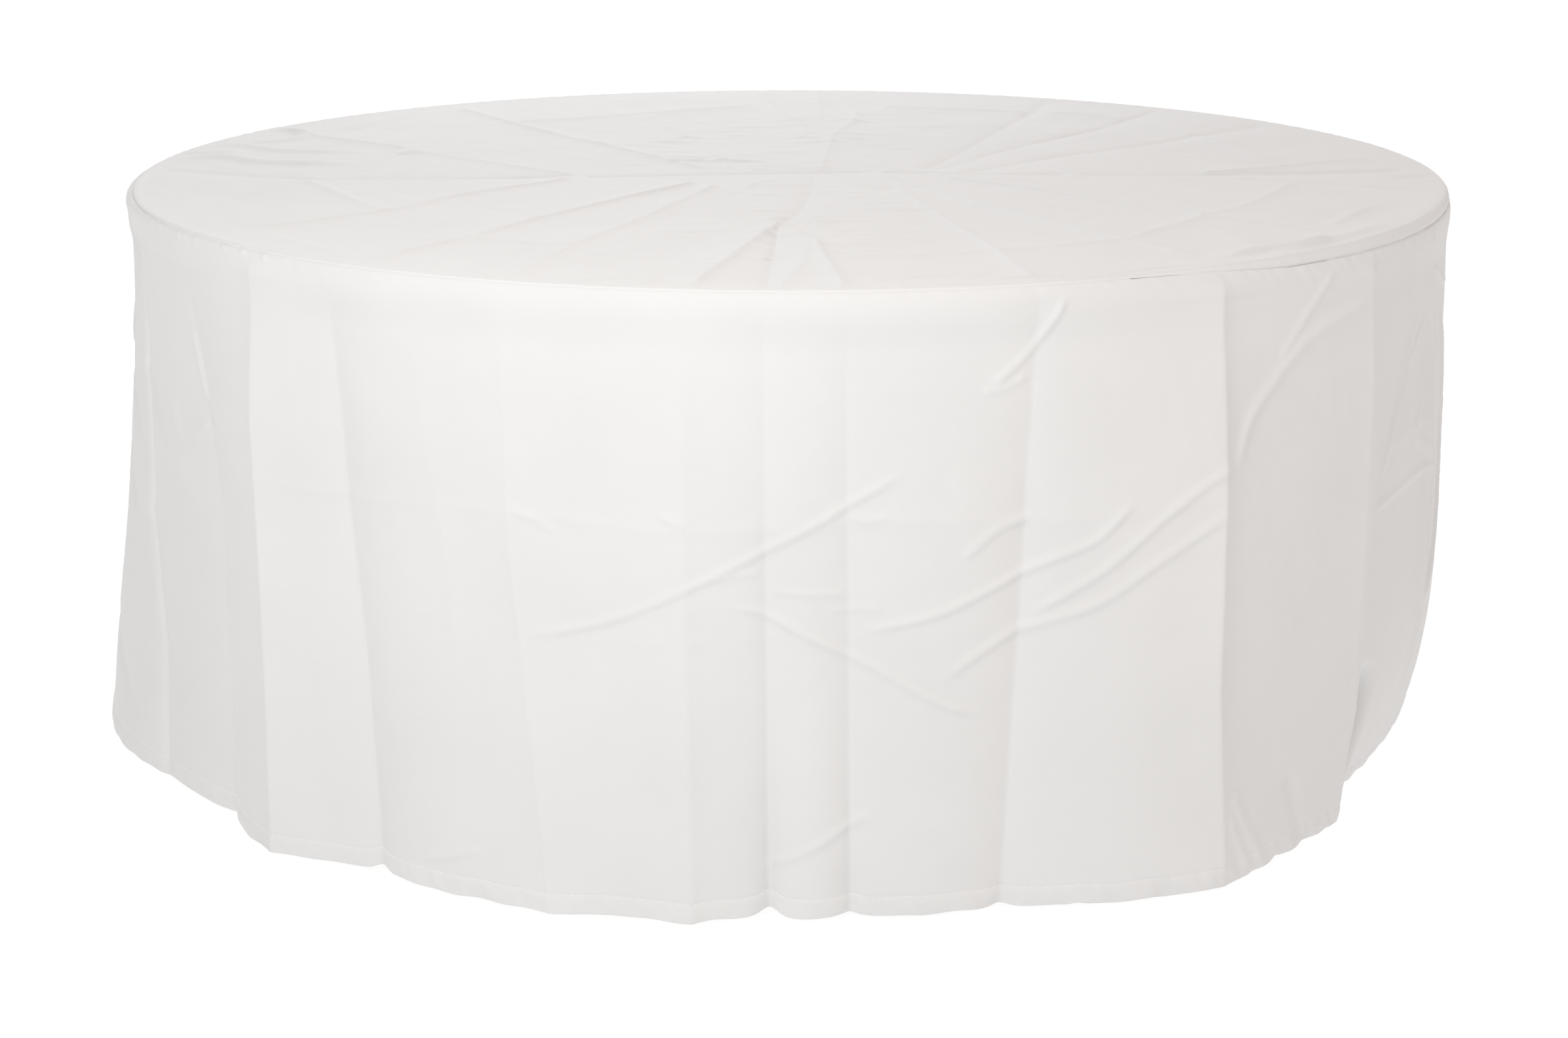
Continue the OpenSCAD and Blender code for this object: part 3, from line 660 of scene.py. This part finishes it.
def make_hem(name, first, last, columns):
    """The hem's turned layer: round the bottom fold and up the inside."""
    full = skirt_rows()[-1]
    q_rows = full - np.linspace(0.0, HEM_DEPTH, 8)
    column, q, p = skirt_strip(first, last, columns, q_rows)
    n = face_frame(p)
    inner = p - n * 0.0016
    fold = []
    for t in np.linspace(0, math.pi, 6)[:-1]:
        out = -0.0008 + 0.0008 * math.cos(t)
        fold.append(p[0] + n[0] * out + np.array([0, 0, -0.0008 * math.sin(t)]))
    points = np.concatenate([np.array(fold), inner])
    rows = len(points)
    u = np.broadcast_to((np.radians(column[0]) * EDGE_R)[None, :], (rows, columns + 1))
    v = np.broadcast_to((np.arange(rows) * 0.003)[:, None], (rows, columns + 1))
    return grid_mesh(name, points[..., 0], points[..., 1], points[..., 2], u, v)


def make_band(name, first, last, columns, q_rows, inset, thick=0.0008):
    """A flat strip of two cloth layers against the skirt's inner face."""
    column, q, p = skirt_strip(first, last, columns, q_rows)
    n = face_frame(p)
    outer, inner = p - n * inset, p - n * (inset + thick)
    ring = np.concatenate([outer, inner[::-1], outer[:1]])
    rows = len(ring)
    u = np.broadcast_to((np.radians(column[0]) * EDGE_R)[None, :], (rows, columns + 1))
    v = np.broadcast_to((np.arange(rows) * 0.002)[:, None], (rows, columns + 1))
    return grid_mesh(name, ring[..., 0], ring[..., 1], ring[..., 2], u, v)


def make_stitches(name):
    """One row of short stitches round the hem, each a small plump bead of thread."""
    pitch, length, thick = 0.0040, 0.0030, 0.00038
    count = int(2 * math.pi * EDGE_R * 1.03 / pitch)
    column = -90 + 360 * (np.arange(count) + 0.5) / count
    full = skirt_rows()[-1]
    q = full - HEM_DEPTH + 0.0025
    half = math.degrees(length / 2 / EDGE_R)
    rows = np.array([q - 0.001, q, q + 0.001])[:, None]
    grids = [np.stack(skirt_xyz(*np.broadcast_arrays(column[None, :] + k * half, rows)), -1)
             for k in (-1, 0, 1)]
    a, mid, b = grids[0][1], grids[1][1], grids[2][1]
    down = grids[1][2] - grids[1][0]
    down /= np.linalg.norm(down, axis=-1, keepdims=True)
    along = b - a
    along /= np.linalg.norm(along, axis=-1, keepdims=True)
    out = np.cross(down, along)
    out[(out[:, 0] * mid[:, 0] + out[:, 1] * mid[:, 1]) < 0] *= -1
    rings = []
    sides = 6
    for t, size in ((-1.0, 0.25), (-0.7, 0.85), (0.0, 1.0), (0.7, 0.85), (1.0, 0.25)):
        centre = mid + along * (t * length / 2) + out * (0.0002 - 0.0004 * t * t)
        for k in range(sides):
            turn = 2 * math.pi * k / sides
            rings.append(centre + (down * math.cos(turn) + out * math.sin(turn)) * thick * size)
    verts = np.stack(rings, 1).reshape(-1, 3)
    per = 5 * sides
    faces = []
    for s in range(count):
        base = s * per
        for ring in range(4):
            for k in range(sides):
                k2 = (k + 1) % sides
                faces.append((base + ring * sides + k, base + ring * sides + k2,
                              base + (ring + 1) * sides + k2, base + (ring + 1) * sides + k))
        faces.append(tuple(base + k for k in reversed(range(sides))))
        faces.append(tuple(base + 4 * sides + k for k in range(sides)))
    mesh = bpy.data.meshes.new(name)
    mesh.from_pydata(verts.tolist(), [], faces)
    mesh.polygons.foreach_set("use_smooth", np.ones(len(faces), bool))
    obj = bpy.data.objects.new(name, mesh)
    bpy.context.scene.collection.objects.link(obj)
    return obj


# ---------------------------------------------------------------- materials

class Nodes:
    """A short way to write a material's node tree."""

    def __init__(self, name):
        self.material = bpy.data.materials.new(name)
        self.material.use_nodes = True
        self.tree = self.material.node_tree
        self.tree.nodes.clear()
        self.out = self.add("ShaderNodeOutputMaterial")

    def add(self, kind, values=None, **settings):
        node = self.tree.nodes.new(kind)
        for key, value in settings.items():
            setattr(node, key, value)
        for key, value in (values or {}).items():
            if isinstance(value, bpy.types.NodeSocket):
                self.tree.links.new(value, node.inputs[key])
            else:
                node.inputs[key].default_value = value
        return node

    def link(self, source, target):
        self.tree.links.new(source, target)

    def math(self, operation, a, b=0.0, c=None):
        node = self.add("ShaderNodeMath", operation=operation)
        for i, value in enumerate([a, b] + ([] if c is None else [c])):
            if isinstance(value, bpy.types.NodeSocket):
                self.link(value, node.inputs[i])
            else:
                node.inputs[i].default_value = value
        return node.outputs[0]

    def noise(self, vector, scale, detail=3.0, rough=0.55):
        values = {"Vector": vector, "Scale": scale, "Detail": detail, "Roughness": rough}
        return self.add("ShaderNodeTexNoise", values).outputs["Fac"]

    def ramp(self, value, *stops):
        node = self.add("ShaderNodeValToRGB", {"Fac": value})
        while len(node.color_ramp.elements) < len(stops):
            node.color_ramp.elements.new(0.5)
        for element, (place, colour) in zip(node.color_ramp.elements, stops):
            element.position = place
            element.color = (*colour, 1)
        return node.outputs["Color"]

    def bump(self, height, distance, strength=1.0, normal=None):
        values = {"Height": height, "Distance": distance, "Strength": strength}
        if normal is not None:
            values["Normal"] = normal
        return self.add("ShaderNodeBump", values).outputs["Normal"]

    def finish(self, values):
        shader = self.add("ShaderNodeBsdfPrincipled", values)
        self.link(shader.outputs["BSDF"], self.out.inputs["Surface"])
        return self.material


def cloth_material(name, tint, weave=0.00055):
    n = Nodes(name)
    cut = n.add("ShaderNodeUVMap", uv_map="cut").outputs["UV"]
    place = n.add("ShaderNodeTexCoord").outputs["Object"]
    part = n.add("ShaderNodeSeparateXYZ", {"Vector": cut})
    warp = n.math("SINE", n.math("MULTIPLY", part.outputs["X"], math.pi / weave))
    weft = n.math("SINE", n.math("MULTIPLY", part.outputs["Y"], math.pi / weave))
    threads = n.math("MULTIPLY", warp, weft)
    stretched = n.add("ShaderNodeMapping", {"Vector": cut, "Scale": (900, 60, 1)}).outputs["Vector"]
    slub = n.noise(stretched, 1.0, 2.0)
    patch = n.noise(place, 7.0, 3.0)
    fine = n.noise(place, 160.0, 2.0)
    shade = n.math("ADD", n.math("MULTIPLY", patch, 0.7), n.math("MULTIPLY", slub, 0.3))
    low, high = [c * 0.975 for c in tint], [min(c * 1.012, 1.0) for c in tint]
    colour = n.ramp(shade, (0.3, low), (0.7, high))
    rough = n.math("ADD", 0.74, n.math("MULTIPLY", fine, 0.14))
    normal = n.bump(threads, 0.00009, 0.35)
    normal = n.bump(slub, 0.00006, 0.4, normal)
    normal = n.bump(fine, 0.00025, 0.25, normal)
    return n.finish({"Base Color": colour, "Roughness": rough, "Normal": normal, "Sheen Weight": 0.22,
                     "Sheen Roughness": 0.45, "Specular IOR Level": 0.32})


def thread_material(name):
    n = Nodes(name)
    place = n.add("ShaderNodeTexCoord").outputs["Object"]
    twist = n.add("ShaderNodeTexWave", {"Vector": place, "Scale": 900.0, "Distortion": 1.5},
                  wave_type="BANDS", bands_direction="DIAGONAL").outputs["Fac"]
    colour = n.ramp(twist, (0.2, (0.84, 0.835, 0.83)), (0.8, (0.93, 0.925, 0.92)))
    return n.finish({"Base Color": colour, "Roughness": n.math("ADD", 0.45, n.math("MULTIPLY", twist, 0.15)),
                     "Normal": n.bump(twist, 0.0001, 0.5), "Sheen Weight": 0.1})


def wood_material(name, dark, light, grain_scale, along, gloss=0.38):
    n = Nodes(name)
    place = n.add("ShaderNodeTexCoord").outputs["Object"]
    stretch = {"x": (0.6, 14, 14), "y": (14, 0.6, 14)}[along]
    run = n.add("ShaderNodeMapping", {"Vector": place, "Scale": stretch}).outputs["Vector"]
    wave = {"Vector": run, "Scale": grain_scale, "Distortion": 6.0, "Detail": 3.0, "Detail Scale": 1.4}
    rings = n.add("ShaderNodeTexWave", wave, wave_type="RINGS",
                  rings_direction="X" if along == "x" else "Y").outputs["Fac"]
    fibre = n.noise(run, 30.0, 5.0, 0.65)
    squeezed = n.add("ShaderNodeMapping", {"Vector": run, "Scale": (1, 1, 4)}).outputs["Vector"]
    pores = n.noise(squeezed, 90.0, 2.0)
    mix = n.math("ADD", n.math("MULTIPLY", rings, 0.45), n.math("MULTIPLY", fibre, 0.55))
    colour = n.ramp(mix, (0.25, dark), (0.55, [(a + b) / 2 for a, b in zip(dark, light)]), (0.8, light))
    rough = n.math("ADD", gloss, n.math("MULTIPLY", pores, 0.2))
    normal = n.bump(fibre, 0.0002, 0.35, n.bump(pores, 0.0001, 0.3))
    return n.finish({"Base Color": colour, "Roughness": rough, "Normal": normal, "Coat Weight": 0.25,
                     "Coat Roughness": 0.2})


def powder_material(name):
    n = Nodes(name)
    place = n.add("ShaderNodeTexCoord").outputs["Object"]
    peel = n.noise(place, 700.0, 2.0)
    wear = n.noise(place, 22.0, 4.0)
    colour = n.ramp(wear, (0.3, (0.050, 0.050, 0.054)), (0.62, (0.072, 0.072, 0.076)),
                    (0.80, (0.105, 0.104, 0.104)))
    return n.finish({"Base Color": colour, "Roughness": n.math("ADD", 0.38, n.math("MULTIPLY", wear, 0.22)),
                     "Normal": n.bump(peel, 0.0002, 0.30), "Specular IOR Level": 0.5})


def zinc_material(name, tone, rough):
    n = Nodes(name)
    place = n.add("ShaderNodeTexCoord").outputs["Object"]
    spangle = n.add("ShaderNodeTexVoronoi", {"Vector": place, "Scale": 260.0}).outputs["Color"]
    value = n.add("ShaderNodeRGBToBW", {"Color": spangle}).outputs["Val"]
    brush = n.add("ShaderNodeMapping", {"Vector": place, "Scale": (40, 900, 900)}).outputs["Vector"]
    brushed = n.noise(brush, 1.0, 2.0)
    stain = n.noise(place, 35.0, 4.0)
    mix = n.math("ADD", n.math("MULTIPLY", value, 0.35), n.math("MULTIPLY", stain, 0.65))
    colour = n.ramp(mix, (0.25, [c * 0.80 for c in tone]), (0.75, tone))
    dull = n.math("ADD", rough, n.math("MULTIPLY", mix, 0.18))
    return n.finish({"Base Color": colour, "Metallic": 1.0, "Roughness": dull,
                     "Normal": n.bump(brushed, 0.00004, 0.4)})


def plastic_material(name, tone, rough, grain=420.0):
    n = Nodes(name)
    place = n.add("ShaderNodeTexCoord").outputs["Object"]
    skin = n.noise(place, grain, 3.0)
    scuff = n.noise(place, 30.0, 5.0)
    colour = n.ramp(scuff, (0.35, tone), (0.75, [min(1.0, c * 1.5 + 0.01) for c in tone]))
    return n.finish({"Base Color": colour, "Roughness": n.math("ADD", rough, n.math("MULTIPLY", scuff, 0.2)),
                     "Normal": n.bump(skin, 0.0001, 0.35), "Specular IOR Level": 0.45})


def paint_node(names, material):
    for name in names:
        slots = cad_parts[name].material_slots
        if len(slots):
            for s in slots:
                s.material = material
        else:
            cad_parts[name].data.materials.append(material)


# ---------------------------------------------------------------- building the cover

def build_cover():
    cloth = cloth_material("white_polyester", (0.680, 0.678, 0.675))
    seam_cloth = cloth_material("white_polyester_seams", (0.665, 0.663, 0.660))
    thread = thread_material("white_thread")
    top = make_top("cloth_top_panel")
    front = make_skirt("cloth_skirt_front", -90, 90, FRONT_COLUMNS)
    back = make_skirt("cloth_skirt_back", 90, 270, BACK_COLUMNS)
    hem_front = make_hem("cloth_hem_front", -90, 90, FRONT_COLUMNS)
    hem_back = make_hem("cloth_hem_back", 90, 270, BACK_COLUMNS)
    stitches = make_stitches("hem_stitches")
    rim = make_band("cloth_rim_seam", -90, 270, 720, np.linspace(0.0300, 0.0400, 5), 0.0012)
    low = skirt_rows()[-1] - HEM_DEPTH - 0.002
    right = make_band("cloth_side_seam_right", 89.25, 90.75, 6, np.linspace(0.045, low, 120), 0.0010)
    left = make_band("cloth_side_seam_left", 269.25, 270.0, 3, np.linspace(0.045, low, 120), 0.0010)
    for piece in (top, front, back):
        piece.data.materials.append(cloth)
    for piece in (hem_front, hem_back, rim, right, left):
        piece.data.materials.append(seam_cloth)
    stitches.data.materials.append(thread)
    for piece, node, slot in (
            (top, "cover_top", "cloth"), (front, "skirt_front", "cloth"), (back, "skirt_back", "cloth"),
            (hem_front, "hem_front", "seam_cloth"), (hem_back, "hem_back", "seam_cloth"),
            (stitches, "hem_stitching", "thread"), (rim, "rim_seam", "seam_cloth"),
            (right, "side_seam_right", "seam_cloth"), (left, "side_seam_left", "seam_cloth")):
        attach(piece, "cover")
        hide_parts(node)
    drop = skirt_rows()[-1]


def finish_table():
    ply = wood_material("birch_plywood", (0.50, 0.36, 0.21), (0.70, 0.55, 0.36), 1.6, "x")
    solid = wood_material("lacquered_hardwood", (0.36, 0.22, 0.11), (0.56, 0.38, 0.21), 2.4, "y")
    powder = powder_material("dark_powder_coat")
    plate = zinc_material("zinc_plate", (0.56, 0.57, 0.58), 0.30)
    bright = zinc_material("bright_zinc", (0.68, 0.67, 0.64), 0.20)
    band = plastic_material("dark_vinyl_edge", (0.040, 0.036, 0.034), 0.42)
    glide = plastic_material("black_glide", (0.016, 0.016, 0.017), 0.35, 600.0)
    sides, ends = ("left", "right"), ("front", "back")
    paint_node(["tabletop_panel"], ply)
    paint_node(["edge_ring", "runner_left", "runner_right"], solid)
    paint_node(["edge_band"], band)
    paint_node([f"saddle_{s}_{e}" for s in sides for e in ends] + [f"clevis_{s}" for s in sides]
               + [f"{k}_link_{s}" for k in ("upper", "lower") for s in sides], plate)
    paint_node([f"{k}_{s}" for k in ("saddle_screws", "clevis_screws", "clevis_pin", "knee_rivet")
                for s in sides], bright)
    paint_node([f"leg_{s}_{e}" for s in sides for e in ends]
               + [f"{k}_{s}" for k in ("pivot_bar", "cross_bar") for s in sides], powder)
    paint_node([f"glide_{s}_{e}" for s in sides for e in ends] + [f"collars_{s}" for s in sides], glide)


# ---------------------------------------------------------------- floor, light and camera

WORLD_LIGHT = 0.64      # even light from all round, a little warm
WORLD_TINT = (1.00, 0.97, 0.96)
FLOOR_GLOW = 0.92       # the pale floor's own brightness
KEY_WATTS = 46          # in front, a little to the left, above the table
KEY_TINT = (1.00, 0.99, 0.97)
TOP_WATTS = 55          # low behind, to rake across the top
TOP_TINT = (0.97, 0.99, 1.00)
RIGHT_WATTS = 24        # a weak warm light from the right
RIGHT_TINT = (1.00, 0.72, 0.55)

CAMERA_PLACE = (-0.007, -4.625, 1.462)
CAMERA_DOWN = 14.6      # degrees below level
CAMERA_LENS = 75.3      # millimetres, on a sensor 36 mm wide


def make_floor():
    bpy.ops.mesh.primitive_plane_add(size=80, location=(0, 0, -0.0005))
    floor = bpy.context.object
    floor.name = "studio_floor"
    n = Nodes("pale_floor")
    diffuse = n.add("ShaderNodeBsdfDiffuse", {"Color": (0.15, 0.15, 0.15, 1)})
    glow = n.add("ShaderNodeEmission", {"Strength": FLOOR_GLOW})
    both = n.add("ShaderNodeAddShader")
    n.link(diffuse.outputs[0], both.inputs[0])
    n.link(glow.outputs[0], both.inputs[1])
    n.link(both.outputs[0], n.out.inputs["Surface"])
    floor.data.materials.append(n.material)


def add_light(name, watts, tint, place, aim, size):
    data = bpy.data.lights.new(name, "AREA")
    data.shape = "SQUARE"
    data.size = size
    data.energy = watts
    data.color = tint
    light = bpy.data.objects.new(name, data)
    bpy.context.scene.collection.objects.link(light)
    light.location = place
    light.rotation_mode = "QUATERNION"
    light.rotation_quaternion = (Vector(aim) - Vector(place)).to_track_quat("-Z", "Y")


def light_scene():
    world = bpy.data.worlds.new("studio")
    bpy.context.scene.world = world
    world.use_nodes = True
    back = world.node_tree.nodes["Background"]
    back.inputs["Color"].default_value = (*WORLD_TINT, 1)
    back.inputs["Strength"].default_value = WORLD_LIGHT
    add_light("key_front_left", KEY_WATTS, KEY_TINT, (-0.75, -2.80, 2.35), (0, 0, 0.5), 1.0)
    add_light("top_rake", TOP_WATTS, TOP_TINT, (-0.50, 3.40, 2.40), (0, 0, 0.76), 1.2)
    add_light("right_fill", RIGHT_WATTS, RIGHT_TINT, (4.50, -1.60, 2.40), (0, 0, 0.5), 1.8)
    bpy.context.scene.view_settings.view_transform = "Standard"


def place_camera():
    data = bpy.data.cameras.new("camera")
    data.lens = CAMERA_LENS
    data.sensor_width = 36.0
    camera = bpy.data.objects.new("camera", data)
    camera.location = CAMERA_PLACE
    camera.rotation_euler = (math.radians(90 - CAMERA_DOWN), 0, 0)
    bpy.context.scene.collection.objects.link(camera)
    bpy.context.scene.camera = camera


build_cover()
finish_table()
make_floor()
light_scene()
place_camera()
